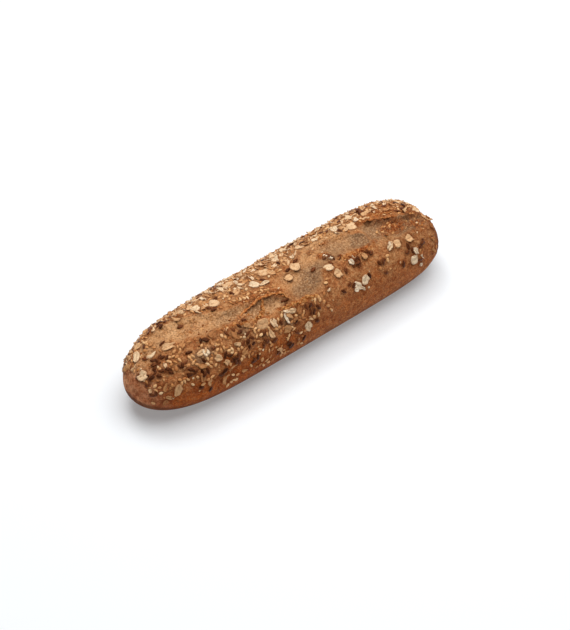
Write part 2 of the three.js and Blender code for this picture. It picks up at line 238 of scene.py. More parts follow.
def skin(x, angle):
    """The crust's fine relief in millimetres, and how much it is slash bed, torn, ashen and cracked."""
    wander = RAGGED_EDGE * (ragged(x, angle, 5, 3.1) + 0.6 * ragged(x, angle, 1.7, 9.4))
    worn_angle = angle + wander
    bed, slashes = 0, 0
    for slash in SLASHES:
        across, fade = slash_share(slash, x, worn_angle)
        inside = smoothstep(across, -0.02, 0.08) * (1 - smoothstep(across, *slash["fading"]))
        bed = max(bed, slash["pale"] * fade * inside)
        slashes += slash_relief(slash, x, worn_angle)
    bed = max(bed, patchiness(PALE_PATCHES, x, worn_angle))
    torn = patchiness(TORN_PATCHES, x, worn_angle)
    ashen = patchiness(ASHEN_PATCHES, x, worn_angle) * smoothstep(bed, 0.1, 0.6)
    crack_and_shade = patchiness(CRACKS, x, worn_angle)
    rough = torn * (0.3 + 0.7 * abs(ragged(x, angle, 1.9, 5.7)) + 0.5 * ragged(x, angle, 0.9, 2.2))
    pores = -PORE_DEPTH * bed * smoothstep(ragged(x, angle, 1.6, 7.9), 0.35, 0.9)
    dough = 0.3 * ragged(x, angle, 7, 1.3) + 0.16 * ragged(x, angle, 2.6, 6.6)
    blisters = BLISTER_HEIGHT * smoothstep(ragged(x, angle, 3.1, 4.4), 0.3, 0.9)
    grain = GRAIN_HEIGHT * ragged(x, angle, 1.2, 8.2)
    height = slashes + pocket_relief(x, worn_angle) + lumps(x, angle)
    height -= CRACK_DEPTH * crack_and_shade + DENT_DEPTH * patchiness(DENTS, x, angle)
    height += rough + pores + dough + blisters + grain
    return relief_share(x, angle) * height, bed, torn, ashen, crack_and_shade


# The angles where the crust starts to darken, and how many degrees later it is darkest. It darkens
# sooner down the near side, partly as painted shade away from the light; over the blunt tip it is
# painted shade.
NEAR_DARK, NARROW_END_DARK, FAR_DARK, DARKENING = 43, 36, 72, 40
BLUNT_HALF_DARK, BLUNT_TIP_SHADE = 0.57, 0.6
# The same for the darkening near the tray: partly scorching, and partly painted shade where the loaf
# meets the tray. Then the strength of the painted shade down the blunt end, and of the darkening on
# its near shoulder.
TRAY_SCORCH, TIPS_SCORCH, SCORCHING = 98, 91, 24
BLUNT_END_SHADE, SHOULDER_DARKENING = 0.7, 0.26


def baked_and_shaded(x, angle):
    """How dark it is: low on the sides, browned and partly painted shade; over the blunt tip, painted
    shade.
    """
    start = lerp(NEAR_DARK, NARROW_END_DARK, smoothstep(-x, 70, 100)) if angle > 0 else FAR_DARK
    side = smoothstep(abs(angle) + 13 * ragged(x, angle, 10, 2.7), start, start + DARKENING)
    blunt_half = lerp(1, BLUNT_HALF_DARK, smoothstep(x, -58, 28))
    blunt_tip = BLUNT_TIP_SHADE * smoothstep(x, 104, 118)
    return clamp(side * blunt_half + blunt_tip)


def scorch_and_shade(x, angle):
    """Darker near the tray (scorching and painted shade), down the blunt end (painted shade), on its near
    shoulder.
    """
    start = lerp(TRAY_SCORCH, TIPS_SCORCH, smoothstep(abs(x), 92, 112)) - 5 * ragged(x, angle, 6, 1.9)
    blunt_end = BLUNT_END_SHADE * smoothstep(x, 98, 114) * smoothstep(abs(angle), 20, 50)
    shoulder = SHOULDER_DARKENING * smoothstep(x, 60, 86)
    shoulder *= smoothstep(angle, 0, 18) * (1 - smoothstep(angle, 45, 66))
    return max(smoothstep(abs(angle), start, start + SCORCHING), blunt_end, shoulder)


RINGS, AROUND = 360, 240
CROWN_CROWDING = 0.3  # how much closer the faces lie on the crown than underneath
SKIN_ATTRIBUTES = ("bed", "torn", "ashen", "crack_and_shade", "bake_and_shade", "scorched_and_shaded", "lip")
TIP_SKIN = (0, 0, 0, 0, 0.5, 0, 0)


def ring_places():
    """Where the rings lie along the loaf, evenly spaced along its outline from tip to tip."""
    steps = 4000
    xs = [LENGTH / 2 * sin(pi * (i / steps - 0.5)) for i in range(steps + 1)]
    sides = [smooth_crust(x, 90) for x in xs]
    travelled = [0]
    for before, after in zip(sides, sides[1:]):
        travelled.append(travelled[-1] + (after - before).length)
    places, i = [], 0
    for ring in range(RINGS + 1):
        while travelled[i] < travelled[-1] * ring / RINGS and i < steps:
            i += 1
        places.append(xs[i])
    return places


def deselect_all():
    bpy.ops.object.select_all(action="DESELECT")


def named(name):
    """Names the object that was just added, and its mesh."""
    made = bpy.context.object
    made.name = made.data.name = name
    return made


def edit_all_points():
    bpy.ops.object.mode_set(mode="EDIT")
    bpy.ops.mesh.select_mode(type="VERT")
    bpy.ops.mesh.select_all(action="SELECT")


def write_attribute(mesh, name, values):
    attribute = mesh.attributes.new(name, "FLOAT", "POINT")
    attribute.data.foreach_set("value", values)


deselect_all()
bpy.ops.mesh.primitive_uv_sphere_add(segments=AROUND, ring_count=RINGS, radius=1)
crust = named("crust")
places = ring_places()
skins = []
for vertex in crust.data.vertices:
    latitude = asin(clamp(vertex.co.z, -1, 1)) / (pi / 2)
    x = places[round((latitude + 1) / 2 * RINGS)]
    if abs(latitude) > 0.999:
        vertex.co = Vector((x, 0, WIDEST_HEIGHT)) * MM
        skins.append(TIP_SKIN)
    else:
        turn = atan2(vertex.co.x, vertex.co.y)
        angle = degrees(turn - CROWN_CROWDING * sin(turn))
        height, *kinds = skin(x, angle)
        vertex.co = (smooth_crust(x, angle) + directions(x, angle)[2] * height) * MM
        skins.append((*kinds, baked_and_shaded(x, angle), scorch_and_shade(x, angle), 0))
for name, values in zip(SKIN_ATTRIBUTES, zip(*skins)):
    write_attribute(crust.data, name, values)
edit_all_points()
bpy.ops.mesh.normals_make_consistent(inside=False)
bpy.ops.object.mode_set(mode="OBJECT")

# Torn edges: thin lips of skin that the oven peeled back. Each row is a line of places, and then how
# far the lip reaches down the near side (up towards the crown where it is negative), how far it
# rises, how ragged its teeth are and how golden it is.
TORN_EDGES = [
    ([(-44, 20), (-36, 15), (-30, 13), (-23, 12), (-15, 15), (-10, 22), (-10, 30)], 2.2, 1.3, 0.45, 0.55),
    ([(-41, 32), (-37, 35), (-33, 35), (-29, 32), (-26, 27), (-25, 21), (-23, 15)], -2.2, 2.4, 0.8, 0.9),
    ([(-64, 20), (-56, 25), (-48, 29), (-41, 32)], -1.5, 0.8, 1, 0.7),
    ([(-20, 37), (-11, 42), (0, 45), (9, 49)], -2.8, 2.2, 0.9, 1),
    ([(34, 20), (42, 23), (50, 26), (62, 28)], -2.2, 1.6, 0.7, 0.6),
    ([(24, 5), (29, 3), (34, 5)], 2.2, 1.3, 1, 0.5),
    ([(63, -6), (69, -4), (76, -2), (83, 1), (91, 4)], 1.6, 1.3, 0.9, 0.15),
    ([(66, -9), (76, -8), (86, -4), (96, 0)], 1.6, 1.5, 1, 0.8),
]
LIP_STEPS, LIP_ROWS = 110, 6
LIP_THICKNESS, LIP_BAKED = 0.8, 0.55
LIP_ROOT = 0.35  # how deep it is rooted, as a share of its rise
LINE_STEP = 12  # millimetres from one place of a line to the next, about


def along_line(line, share):
    """The place at a share of a line's length, rounded through its points."""
    position = clamp(share) * (len(line) - 1)
    i = min(int(position), len(line) - 2)
    t = position - i
    points = [line[max(i - 1, 0)], line[i], line[i + 1], line[min(i + 2, len(line) - 1)]]
    weights = (
        -t + 2 * t ** 2 - t ** 3,
        2 - 5 * t ** 2 + 3 * t ** 3,
        t + 4 * t ** 2 - 3 * t ** 3,
        t ** 3 - t ** 2,
    )
    return tuple(sum(w * p[k] for w, p in zip(weights, points)) / 2 for k in (0, 1))


def torn_lip(number, line, reach, thick, teeth, gold):
    """A strip of skin that is rooted in the crust along one side."""
    deselect_all()
    bpy.ops.mesh.primitive_grid_add(x_subdivisions=LIP_STEPS, y_subdivisions=LIP_ROWS, size=1)
    lip = named("torn_lip_%d" % number)
    for vertex in lip.data.vertices:
        share, free = vertex.co.x + 0.5, 0.5 - copysign(vertex.co.y, reach * vertex.co.y)
        x, angle = along_line(line, share)
        out = directions(x, angle)[2]
        ahead = crust_point(*along_line(line, share + 0.02)) - crust_point(*along_line(line, share - 0.02))
        side = ahead.cross(out).normalized()
        taper = lerp(0.3, 1, sin(pi * clamp(share, 0.001, 0.999)) ** 0.6)
        length = share * len(line) * LINE_STEP
        tooth = 0.55 * ragged(length, 0, 5.2, number + 0.3) + 0.35 * ragged(length, 0, 1.9, number + 0.7)
        crumble = 0.25 * ragged(length, 60 * free, 0.9, number + 0.1)
        sideways = reach * taper * (free * max(1 + teeth * (tooth + crumble), 0.05) * 1.25 - 0.5)
        wave = 0.45 * ragged(length, 50 * free, 2.4, number)
        rise = thick * (taper * free * (0.8 + teeth * wave) - LIP_ROOT)
        rise += 0.28 * teeth * ragged(length, 90 * free, 0.8, number + 0.6)
        vertex.co = (crust_point(x, angle) + side * sideways + out * rise) * MM
    solidify = lip.modifiers.new("thickness", "SOLIDIFY")
    solidify.thickness = LIP_THICKNESS * MM
    solidify.offset = 0
    bpy.ops.object.modifier_apply(modifier=solidify.name)
    count = len(lip.data.vertices)
    kinds = {"lip": gold, "bake_and_shade": LIP_BAKED}
    for name in SKIN_ATTRIBUTES:
        write_attribute(lip.data, name, [kinds.get(name, 0.0)] * count)
    return lip


def joined(objects, name):
    deselect_all()
    for piece in objects:
        piece.select_set(True)
    bpy.context.view_layer.objects.active = objects[0]
    bpy.ops.object.join()
    return named(name)


lips = [torn_lip(number, *edge) for number, edge in enumerate(TORN_EDGES)]
crust = joined([crust, *lips], "crust")
bpy.ops.object.shade_smooth()
# Filled in below, as the toppings are pressed in: how close the crust lies to one of them, where its
# colour is darkened as painted shade.
write_attribute(crust.data, "painted_contact_shade", [0.0] * len(crust.data.vertices))


def seen(red, green, blue):
    """A colour written as it is seen on a screen, 0 to 255, as a shader takes it."""
    parts = [value / 255 for value in (red, green, blue)]
    return (*(p / 12.92 if p <= 0.04045 else ((p + 0.055) / 1.055) ** 2.4 for p in parts), 1)


def set_socket(tree, socket, value):
    if isinstance(value, bpy.types.NodeSocket):
        tree.links.new(value, socket)
    else:
        socket.default_value = value


def add_node(tree, kind, sockets=None, **settings):
    node = tree.nodes.new(kind)
    for name, value in settings.items():
        setattr(node, name, value)
    for name, value in (sockets or {}).items():
        set_socket(tree, node.inputs[name], value)
    return node


def mixed(tree, share, first, second):
    node = add_node(tree, "ShaderNodeMix", data_type="RGBA")
    for index, value in ((0, share), (6, first), (7, second)):
        set_socket(tree, node.inputs[index], value)
    return node.outputs[2]


def ramp(tree, value, start, end):
    """A value from 0 at the start of a range to 1 at its end."""
    sockets = {"Value": value, "From Min": start, "From Max": end}
    return add_node(tree, "ShaderNodeMapRange", sockets).outputs["Result"]


def mottle(tree, size, detail=3, low=0.35, high=0.65, roughness=0.55):
    """A blotchy value from 0 to 1 with blotches of about the given size in millimetres."""
    place = add_node(tree, "ShaderNodeTexCoord").outputs["Object"]
    sockets = {"Vector": place, "Scale": 1 / (size * MM), "Detail": detail, "Roughness": roughness}
    return ramp(tree, add_node(tree, "ShaderNodeTexNoise", sockets).outputs["Fac"], low, high)


def times(tree, first, second):
    node = add_node(tree, "ShaderNodeMath", operation="MULTIPLY")
    set_socket(tree, node.inputs[0], first)
    set_socket(tree, node.inputs[1], second)
    return node.outputs[0]


def attribute(tree, name):
    return add_node(tree, "ShaderNodeAttribute", attribute_name=name).outputs["Fac"]


def new_material(name, roughness, specular):
    material = bpy.data.materials.new(name)
    material.use_nodes = True
    shader = material.node_tree.nodes["Principled BSDF"]
    shader.inputs["Roughness"].default_value = roughness
    shader.inputs["Specular IOR Level"].default_value = specular
    return material, material.node_tree, shader


def coat(tree, shader, colour, height, distance):
    """Gives a material its colour and, from a value, a fine relief in millimetres."""
    tree.links.new(colour, shader.inputs["Base Color"])
    bump = add_node(tree, "ShaderNodeBump", {"Height": height, "Distance": distance * MM})
    tree.links.new(bump.outputs["Normal"], shader.inputs["Normal"])


def spots(tree, size, share, strength):
    """A value for crisp spots of about a size, which cover about a share of the surface."""
    level = 0.66 - 0.3 * share
    value = mottle(tree, size, low=level - 0.03, high=level + 0.04, roughness=0.6)
    return times(tree, value, strength)


def blotched(tree, size, first, second, **settings):
    return mixed(tree, mottle(tree, size, **settings), seen(*first), seen(*second))


def spotted(tree, colour, size, share, strength, spot_colour):
    return mixed(tree, spots(tree, size, share, strength), colour, seen(*spot_colour))


# The narrow tip is painted redder and lighter: partly its own colour, and partly painted light.
RUDDY_FROM, RUDDY_TO = -103, -116  # along the narrow tip, which is redder than the rest


def baked_crust():
    """Brown skin, darker low down partly as painted shade, with pale beds, rusty torn edges and golden
    lips.
    """
    material, tree, shader = new_material("baked_crust", roughness=0.6, specular=0.05)
    place = add_node(tree, "ShaderNodeTexCoord").outputs["Object"]
    along = add_node(tree, "ShaderNodeSeparateXYZ", {"Vector": place}).outputs["X"]
    light_skin = blotched(tree, 6, (172, 104, 56), (224, 166, 112), detail=6)
    light_skin = spotted(tree, light_skin, 6, 0.5, 0.65, (166, 86, 36))
    light_skin = spotted(tree, light_skin, 3.2, 0.3, 0.35, (230, 176, 122))
    light_skin = spotted(tree, light_skin, 0.8, 0.35, 0.3, (236, 180, 122))
    dark_skin = blotched(tree, 6, (140, 52, 8), (198, 99, 34), detail=6)
    dark_skin = spotted(tree, dark_skin, 3.2, 0.3, 0.35, (206, 118, 54))
    dark_skin = spotted(tree, dark_skin, 0.8, 0.35, 0.55, (216, 126, 58))
    # Darker skin down the sides: partly browned in the oven, partly painted shade on the near side and
    # over the blunt tip.
    brown = mixed(tree, attribute(tree, "bake_and_shade"), light_skin, dark_skin)
    # Painted light, with the tip's own redder colour, over the narrow tip.
    narrow_tip = ramp(tree, along, RUDDY_FROM * MM, RUDDY_TO * MM)
    ruddy_and_lit = blotched(tree, 5, (184, 100, 62), (242, 172, 126), detail=6)
    brown = mixed(tree, times(tree, narrow_tip, 0.8), brown, ruddy_and_lit)
    brown = spotted(tree, brown, 4, 0.35, 0.4, (150, 70, 26))
    brown = spotted(tree, brown, 2.6, 0.4, 0.45, (126, 58, 20))
    pale = blotched(tree, 6, (192, 132, 80), (242, 188, 134), detail=6)
    pale = spotted(tree, pale, 3, 0.35, 0.4, (168, 106, 60))
    bed = attribute(tree, "bed")
    colour = mixed(tree, bed, brown, pale)
    ashes = times(tree, attribute(tree, "ashen"), mottle(tree, 1.8, low=0.22, high=0.48))
    colour = mixed(tree, ashes, colour, seen(140, 105, 76))
    colour = mixed(tree, times(tree, bed, spots(tree, 1.4, 0.4, 0.6)), colour, seen(130, 80, 44))
    colour = mixed(tree, times(tree, bed, spots(tree, 1.2, 0.35, 0.5)), colour, seen(240, 194, 146))
    rust = blotched(tree, 1.8, (112, 48, 16), (188, 104, 48), detail=4, low=0.42, high=0.6)
    scraps = times(tree, attribute(tree, "torn"), mottle(tree, 3, low=0.3, high=0.5))
    colour = mixed(tree, scraps, colour, rust)
    colour = spotted(tree, colour, 1.1, 0.4, 0.34, (86, 38, 12))
    colour = spotted(tree, colour, 0.9, 0.35, 0.2, (236, 180, 122))
    # Painted shade on the crust round each topping, where its shadow falls.
    painted_contact_shade = times(tree, attribute(tree, "painted_contact_shade"), mottle(tree, 2, low=0.2, high=0.6))
    colour = mixed(tree, times(tree, painted_contact_shade, 0.6), colour, seen(84, 36, 8))
    # Painted shade down in the cracks and hollows.
    colour = mixed(tree, times(tree, attribute(tree, "crack_and_shade"), 0.8), colour, seen(70, 32, 12))
    # Darker near the tray (scorching and painted shade), down the blunt end (painted shade) and on its
    # near shoulder.
    colour = mixed(tree, times(tree, attribute(tree, "scorched_and_shaded"), 0.7), colour, seen(66, 30, 12))
    gold = blotched(tree, 1.6, (172, 92, 38), (236, 170, 104), detail=4, low=0.4, high=0.6)
    colour = mixed(tree, attribute(tree, "lip"), colour, gold)
    grain = mottle(tree, 1.3, detail=5, low=0, high=1, roughness=0.75)
    coat(tree, shader, colour, grain, distance=1.0)
    return material


crust.data.materials.append(baked_crust())
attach(crust, "root")
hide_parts("baguette")

# ---- Where the toppings lie ----
# Before baking, the wet loaf was rolled in a dry mix of oat flakes, linseed and sesame. It took up
# most on the far side and towards the narrow end, and little on the near side of the blunt half.

# The places of the large ones: x, angle, length, width, turn from the loaf's length in degrees, and
# tone, from 0 for brown to 1 for cream.
LARGE_FLAKES = [
    (-112, 13, 8, 6.2, 20, 0.75), (-107, -22, 8.6, 4.4, -35, 0.8), (-91, 4, 8.8, 4.6, 15, 0.6),
    (-100, 69, 8.4, 4.2, -58, 0.5), (-78, 35, 7.1, 3.8, 0, 0.6), (-70, 52, 5.6, 4.4, 45, 0.6),
    (-60, -17, 7, 5.6, 20, 0.85), (-101, -36, 7.6, 4.6, 15, 0.55), (-34, 43, 9, 6.8, 10, 0.5),
    (-27, 49, 6.4, 4.2, 75, 0.75), (-31, 60, 6.4, 3.4, 76, 0.6), (-4, 77, 6.6, 5.8, 90, 0.8),
    (-21, -3, 7.8, 4.6, 50, 0.9), (0, 9, 6.6, 4.8, 5, 0.6), (8, 3, 7.4, 6.4, 75, 0.65),
    (-9, -12, 7.8, 6, 25, 0.65), (4, -21, 6.2, 4.4, 90, 0.85), (-32, -25, 7.6, 6.4, 20, 0.65),
    (-34, -6, 6.8, 4.6, -20, 0.5), (-50, -8, 7.4, 6.6, 30, 0.7), (26, 23, 7.8, 4.6, 20, 0.8),
    (29, 35, 6, 5.6, 0, 0.6), (60, -7, 7.2, 6.6, 0, 0.7), (65, -23, 6, 4.4, 30, 0.8),
    (44, 60, 6.9, 4.8, -55, 0.9), (38, 62, 7.4, 4.6, 50, 0.95), (71, 37, 7.2, 3.4, -35, 0.8),
    (77, 38, 6.2, 5.2, 20, 0.6), (87, 39, 6.4, 5, 0, 0.55), (84, 71, 6.6, 6, 0, 0.9),
    (87, 60, 5.6, 3.4, 66, 0.95), (108, 2, 8, 4.6, -30, 0.75), (112, 18, 8, 5, 36, 0.5),
]
FLAKE_LENGTH, FLAKE_SLENDERNESS, FLAKE_LEAN = (5.0, 7.5), (0.55, 0.85), (-9, 9)
SCATTERED_FLAKES, FLAKE_SPACING = 58, 6.5
LINSEED_CLUSTERS = [  # x, angle, number of seeds
    (-108, 26, 4), (-100, 33, 2), (-101, 9, 3), (-91, 36, 2), (-89, 51, 3), (-82, -32, 3),
    (-81, 60, 2), (-72, 22, 2), (-70, 74, 2), (-59, 66, 3), (-53, -5, 2), (-50, 33, 3),
    (-48, -36, 2), (-48, 56, 2), (-46, 80, 2), (-37, 66, 2), (-19, 88, 2), (-13, 34, 2),
    (0, 55, 3), (30, 15, 3), (28, -22, 2), (34, 57, 2), (44, 33, 4), (44, -22, 2),
    (55, 33, 2), (60, 50, 2), (74, -24, 3), (83, 53, 3), (94, 54, 2), (103, -9, 2),
]
SINGLE_LINSEEDS = [
    (-113, 38), (-111, 62), (-105, -5), (-92, -4), (-86, 79), (-84, 26), (-80, 88), (-76, -9),
    (-79, 45), (-72, -48), (-70, 38), (-65, 53), (-57, -34), (-46, 44), (-46, -14), (-43, 28),
    (-36, -7), (-14, -3), (-13, 77), (-12, 62), (-8, 90), (3, -13), (3, 2), (3, 77), (6, 60),
    (12, -3), (17, 15), (37, 18), (35, 37), (48, 58), (51, -11), (75, 68), (80, -16), (89, 76),
]
CLUSTER_RADIUS = 3.4
SCATTERED_LINSEEDS, LINSEED_SPACING = 10, 4.2
TOPPED_LENGTH, TOPPED_ANGLE = 114, 98
# Where little stuck, with the same values as TORN_PATCHES.
BARE_PATCHES = [
    (-103, 46, 8, 6, 1), (-93, 67, 10, 5, 0.9), (-98, 89, 14, 6, 1), (-76, 65, 7, 4, 0.9),
    (-60, 84, 8, 4, 0.9), (8, 82, 12, 6, 1), (-10, 68, 6, 4, 0.8), (-26, 72, 7, 4, 0.8),
    (-105, -4, 11, 9, 0.9), (23, 40, 6, 6, 1),
]
SEED = 20417


class Draws:
    """A plain repeating generator, so that every run gives the same loaf."""

    FACTOR, STEP, SPAN = 1664525, 1013904223, 2 ** 32

    def __init__(self, seed):
        self.state = seed

    def share(self):
        self.state = (self.state * self.FACTOR + self.STEP) % self.SPAN
        return self.state / self.SPAN

    def between(self, low, high):
        return lerp(low, high, self.share())


draws = Draws(SEED)


def in_slash(x, angle, margin):
    for slash in SLASHES:
        if slash["far"][0][0] < x < slash["far"][-1][0]:
            far, near = slash_edges(slash, x)
            if far - margin < angle < near + margin:
                return True
    return False


def coverage(x, angle):
    """The chance that a topping stuck at a place."""
    if in_slash(x, angle, 3):
        return 0
    sides = 1 - smoothstep(abs(angle), 62, TOPPED_ANGLE)
    brushed = lerp(1, 0.25, smoothstep(x, 0, 22)) if angle > 10 else 1
    tip = 1 - 0.7 * smoothstep(-x, 96, 112) if x < 0 and angle > 0 else 1
    return sides * brushed * tip


def apart(first, second):
    """The distance over the crust between two places, in millimetres."""
    return hypot(first[0] - second[0], arc(first[1] - second[1]))


def thrown():
    """A place anywhere on the part of the crust that took up toppings."""
    x = draws.between(-TOPPED_LENGTH, TOPPED_LENGTH)
    return x, draws.between(-TOPPED_ANGLE, TOPPED_ANGLE)


def scatter(count, spacing, taken, make_place):
    """Throws pieces at the crust until enough stick, each clear of those already there."""
    places = []
    while len(places) < count:
        x, angle = thrown()
        if draws.share() < coverage(x, angle):
            if all(apart(other, (x, angle)) > spacing for other in taken + places):
                places.append((x, angle, *make_place()))
    return places


def any_turn():
    return draws.between(-90, 90)


def make_flake_place():
    length = draws.between(*FLAKE_LENGTH)
    width = length * draws.between(*FLAKE_SLENDERNESS)
    return length, width, any_turn(), draws.between(*FLAKE_LEAN)


def cluster_places():
    places = []
    for x, angle, number in LINSEED_CLUSTERS:
        first = draws.between(0, 360)
        for i in range(number):
            bearing = radians(first + 360 / number * i)
            away = CLUSTER_RADIUS * sqrt(number - 1) / 2
            side = degrees(away * sin(bearing) / CRUST_RADIUS)
            places.append((x + away * cos(bearing), angle + side, any_turn()))
    return places


flake_places = [(*place[:5], 0) for place in LARGE_FLAKES]
flake_places += scatter(SCATTERED_FLAKES, FLAKE_SPACING, flake_places, make_flake_place)
linseed_places = cluster_places()
taken = flake_places + linseed_places
linseed_places += scatter(SCATTERED_LINSEEDS, LINSEED_SPACING, taken, lambda: (any_turn(),))
linseed_places += [(x, angle, any_turn()) for x, angle in SINGLE_LINSEEDS]


class Ground:
    """What lies on the crust already, kept by squares so that neighbours are found quickly."""

    SQUARE = 9  # millimetres
    THROWS = 60  # tries for each piece, before the gaps count as full

    def __init__(self):
        self.squares = {}

    def square(self, x, angle):
        return round(x / self.SQUARE), round(arc(angle) / self.SQUARE)

    def lay(self, x, angle, radius):
        self.squares.setdefault(self.square(x, angle), []).append((x, angle, radius))

    def is_clear(self, x, angle, radius, overlap):
        """Whether a piece is clear of the others, which it may overlap a little."""
        across, around = self.square(x, angle)
        near = [(across + i, around + j) for i in (-1, 0, 1) for j in (-1, 0, 1)]
        others = [other for square in near for other in self.squares.get(square, [])]
        return all(apart(other, (x, angle)) > overlap * (other[2] + radius) for other in others)

    def fill(self, count, radius, chance_at, overlap=0.8):
        """Throws up to so many pieces of one size into the gaps, and gives their places."""
        places = []
        for throw in range(self.THROWS * count):
            x, angle = thrown()
            if draws.share() < chance_at(x, angle) and self.is_clear(x, angle, radius, overlap):
                places.append((x, angle))
                self.lay(x, angle, radius)
            if len(places) == count:
                break
        return places


LINSEED_RADIUS = 1.5
ground = Ground()
for x, angle, length, width, turn, lean in flake_places:
    ground.lay(x, angle, (length + width) / 4)
for x, angle, turn in linseed_places:
    ground.lay(x, angle, LINSEED_RADIUS)


def lay_on(piece, x, angle, turn, lean, lift):
    """Moves a piece made about the origin, +Z up, onto the crust."""
    along, down, out = directions(x, angle)
    stand = Matrix((along, -down, out)).transposed().to_4x4()
    stand.translation = (crust_point(x, angle) + out * lift) * MM
    turned = Matrix.Rotation(radians(-turn), 4, "Z") @ Matrix.Rotation(radians(lean), 4, "X")
    piece.data.transform(stand @ turned)


def copy_of(piece, tone, size):
    """A copy of a size in millimetres, with a tone that its material reads."""
    twin = piece.copy()
    twin.data = piece.data.copy()
    bpy.context.collection.objects.link(twin)
    twin.data.transform(Matrix.Diagonal((*(side * MM for side in size), 1)))
    write_attribute(twin.data, "tone", [tone] * len(twin.data.vertices))
    return twin


def select_points(piece, test):
    """In edit mode, selects the points whose place passes the test."""
    mesh = bmesh.from_edit_mesh(piece.data)
    for vertex in mesh.verts:
        vertex.select = test(vertex.co)
    mesh.select_flush(True)
    mesh.select_flush(False)
    bmesh.update_edit_mesh(piece.data)


crust_tree = kdtree.KDTree(len(crust.data.vertices))
for vertex in crust.data.vertices:
    crust_tree.insert(vertex.co, vertex.index)
crust_tree.balance()
painted_contact_shade = crust.data.attributes["painted_contact_shade"].data


def press_in(x, angle, radius, rise, width=0.9):
    """Draws the dough up round a topping that is pressed into it, and marks the crust there for painted
    shade.
    """
    foot, out = crust_point(x, angle) * MM, directions(x, angle)[2]
    for place, index, distance in crust_tree.find_range(foot, (radius + 2 * width) * MM):
        closeness = exp(-((distance / MM - radius) / width) ** 2)
        crust.data.vertices[index].co += out * (rise * closeness * MM)
        painted_contact_shade[index].value = max(painted_contact_shade[index].value, closeness)


def stuck(x, angle):
    """The chance that a small topping stuck at a place."""
    return coverage(x, angle) * (1 - patchiness(BARE_PATCHES, x, angle))


def clumps(x, angle, channel):
    """Toppings stick in clumps: from 0 in a gap to 1 in a clump."""
    return smoothstep(ragged(x, angle, 7, channel), -0.35, 0.25)


# ---- Oat flakes ----
# Rolled oats: flat ovals with a crease down the middle, browned at the rim. Some are whole, many
# are broken, and all are curled. The larger ones lie flat in the dough, and the rest in between.

WHOLE_FLAKES, BROKEN_FLAKES = 7, 6
FLAKE_THICKNESS = 1.2
EXTRA_LEAN = (-10, 10)
# The scattered flakes are paler on the far side, partly as painted light, since that side faces the light.
FAR_TONES, NEAR_TONES = (0.2, 0.9), (0.05, 0.42)  # of the scattered ones
# Thin, curled and broken ones lying over the others, with the same values as LARGE_FLAKES.
ODD_FLAKES = [
    (-15, 1, 8.3, 2.2, 5, 0.85), (-27, -12, 5.3, 4.6, 33, 0.8), (6, -30, 5.3, 3.9, 15, 0.75),
    (-18, 52, 7.6, 2, 86, 1), (-16, 44, 4.6, 2.2, 30, 0.9), (41, 31, 4.6, 3, 81, 1),
    (51, 33, 5, 3.7, 76, 0.4), (99, 2, 6, 4.6, -15, 0.6), (114, 21, 7.4, 3, 36, 0.35),
    (-28, 88, 6.6, 4.6, 75, 0.5), (-1, 68, 4.4, 2.6, 44, 0.6), (30, 9, 5, 2.4, 60, 1),
    (-55, 47, 4.6, 3, 0, 0.6), (-66, 63, 4.4, 3.2, 70, 0.55), (-12, 47, 5.6, 3.4, 20, 0.7),
    (31, 14, 3.4, 2, 40, 1), (36, 66, 3.6, 2.6, 10, 1), (41, 69, 3.2, 2, 60, 0.95),
    (71, 34, 3.6, 2, -50, 0.95), (89, 84, 3, 2, 30, 1), (90, 72, 3.6, 1.8, 80, 0.95),
    (44, 27, 3, 1.8, 70, 0.9),
]
ODD_LEAN = (-24, 24)
SMALL_FLAKES, SMALL_RADIUS, SMALL_LENGTH, SMALL_SLENDERNESS = 400, 1.7, (3.0, 6.6), (0.35, 0.7)
SMALL_LEAN, SMALL_TONES = (-20, 20), (0.3, 0.95)


def rolled_oat(number):
    """An oat flake 1 unit across each way, to be scaled: creased, uneven, curled, perhaps broken."""
    deselect_all()
    bpy.ops.mesh.primitive_uv_sphere_add(segments=20, ring_count=9, radius=0.5)
    flake = named("oat_flake_%d" % number)
    for vertex in flake.data.vertices:  # a thick rim instead of a sharp one
        vertex.co.z = signed_power(2 * vertex.co.z, 0.75) / 2
    edit_all_points()
    uneven = 0.03 if number < WHOLE_FLAKES else 0.06
    bpy.ops.transform.vertex_random(offset=uneven, uniform=0.3, normal=0, seed=number)
    select_points(flake, lambda co: abs(co.y) < 0.09 and abs(co.x) < 0.36 and co.z > 0)
    bpy.ops.transform.translate(value=(0, 0, -0.35))
    if number >= WHOLE_FLAKES:
        bpy.ops.mesh.select_all(action="SELECT")
        across = (0.5, 0.9 * (-1) ** number, 0)
        bpy.ops.mesh.bisect(plane_co=(0.08, 0, 0), plane_no=across, use_fill=True, clear_outer=True)
    bpy.ops.object.mode_set(mode="OBJECT")
    curl = [1.4 + 3.5 * noise.noise(Vector((number * 0.77, 0.5, side))) for side in (0, 9)]
    crease_shades, rims = [], []
    for vertex in flake.data.vertices:
        x, y, z = vertex.co
        bearing = atan2(y, x)
        reach = hypot(x, y)
        outline = 1 + 0.3 * noise.noise(Vector((1.6 * cos(bearing), 1.6 * sin(bearing), number)))
        wave = 1.8 * noise.noise(Vector((3.4 * x, 3.4 * y, number))) * reach
        # Marks the crease, which the material paints darker as shade.
        crease_shades.append(1 - smoothstep(abs(y), 0.02, 0.13))
        rims.append(smoothstep(reach, 0.32, 0.49))
        vertex.co = (x * outline, y * outline, z + curl[0] * x * x + 0.7 * curl[1] * y * y + wave)
    write_attribute(flake.data, "crease", crease_shades)
    write_attribute(flake.data, "rim", rims)
    bpy.ops.object.shade_smooth()
    return flake


flake_kinds = [rolled_oat(number) for number in range(WHOLE_FLAKES + BROKEN_FLAKES)]
flakes = []


